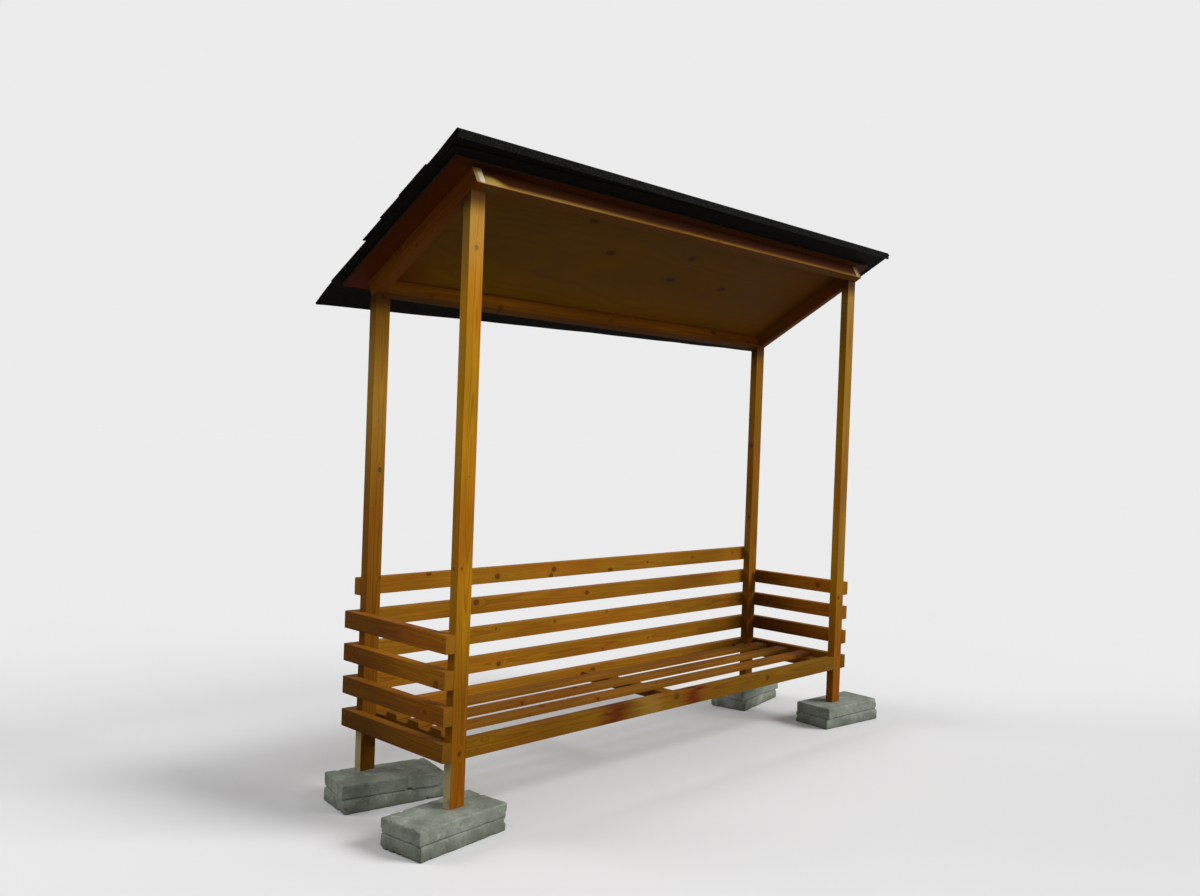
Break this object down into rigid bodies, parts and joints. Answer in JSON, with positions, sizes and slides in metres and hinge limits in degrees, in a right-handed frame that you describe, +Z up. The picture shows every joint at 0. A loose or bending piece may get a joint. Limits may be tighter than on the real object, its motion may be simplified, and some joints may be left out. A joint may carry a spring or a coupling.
{
  "type": "log store",
  "caption": "Free-standing firewood store: open stained timber frame with slatted ends and back, a single-slope roof of lapped dark shingles, and stacked paver feet.",
  "frame": {"origin": "middle of the underside of the box around the whole store, on the ground", "axes": "+X along the store's length, to the right as seen from its open front; +Y from the open front to the slatted back; +Z up"},
  "size_m": [2.8638, 0.8671, 2.335],
  "materials": {
    "concrete": "rough cast concrete",
    "stained_post": "amber stained softwood",
    "stained_rail": "amber stained softwood",
    "stained_slat": "amber stained softwood",
    "stained_floor": "amber stained softwood",
    "stained_roof_frame": "amber stained softwood",
    "stained_sheet": "stained plywood sheet",
    "shingle": "black mineral-coated bitumen"
  },
  "bodies": {
    "root": {"paver_front_left_lower": "concrete", "paver_front_left_upper": "concrete", "post_front_left": "stained_post", "paver_front_right_lower": "concrete", "paver_front_right_upper": "concrete", "post_front_right": "stained_post", "paver_rear_left_lower": "concrete", "paver_rear_left_upper": "concrete", "post_rear_left": "stained_post", "paver_rear_right_lower": "concrete", "paver_rear_right_upper": "concrete", "post_rear_right": "stained_post", "rail_front": "stained_rail", "end_slat_left_1": "stained_slat", "end_slat_left_2": "stained_slat", "end_slat_left_3": "stained_slat", "end_slat_left_4": "stained_slat", "end_slat_right_1": "stained_slat", "end_slat_right_2": "stained_slat", "end_slat_right_3": "stained_slat", "end_slat_right_4": "stained_slat", "back_slat_1": "stained_slat", "back_slat_2": "stained_slat", "back_slat_3": "stained_slat", "back_slat_4": "stained_slat", "back_slat_5": "stained_slat", "floor_bearers": "stained_floor", "floor_boards": "stained_floor", "rafter_left": "stained_roof_frame", "rafter_right": "stained_roof_frame", "header_front": "stained_roof_frame", "beam_rear": "stained_roof_frame", "roof_deck": "stained_sheet", "shingle_starter": "shingle", "shingle_course_1": "shingle", "shingle_course_2": "shingle", "shingle_course_3": "shingle", "shingle_course_4": "shingle", "shingle_course_5": "shingle", "shingle_course_6": "shingle", "shingle_cap": "shingle"}
  },
  "joints": []
}
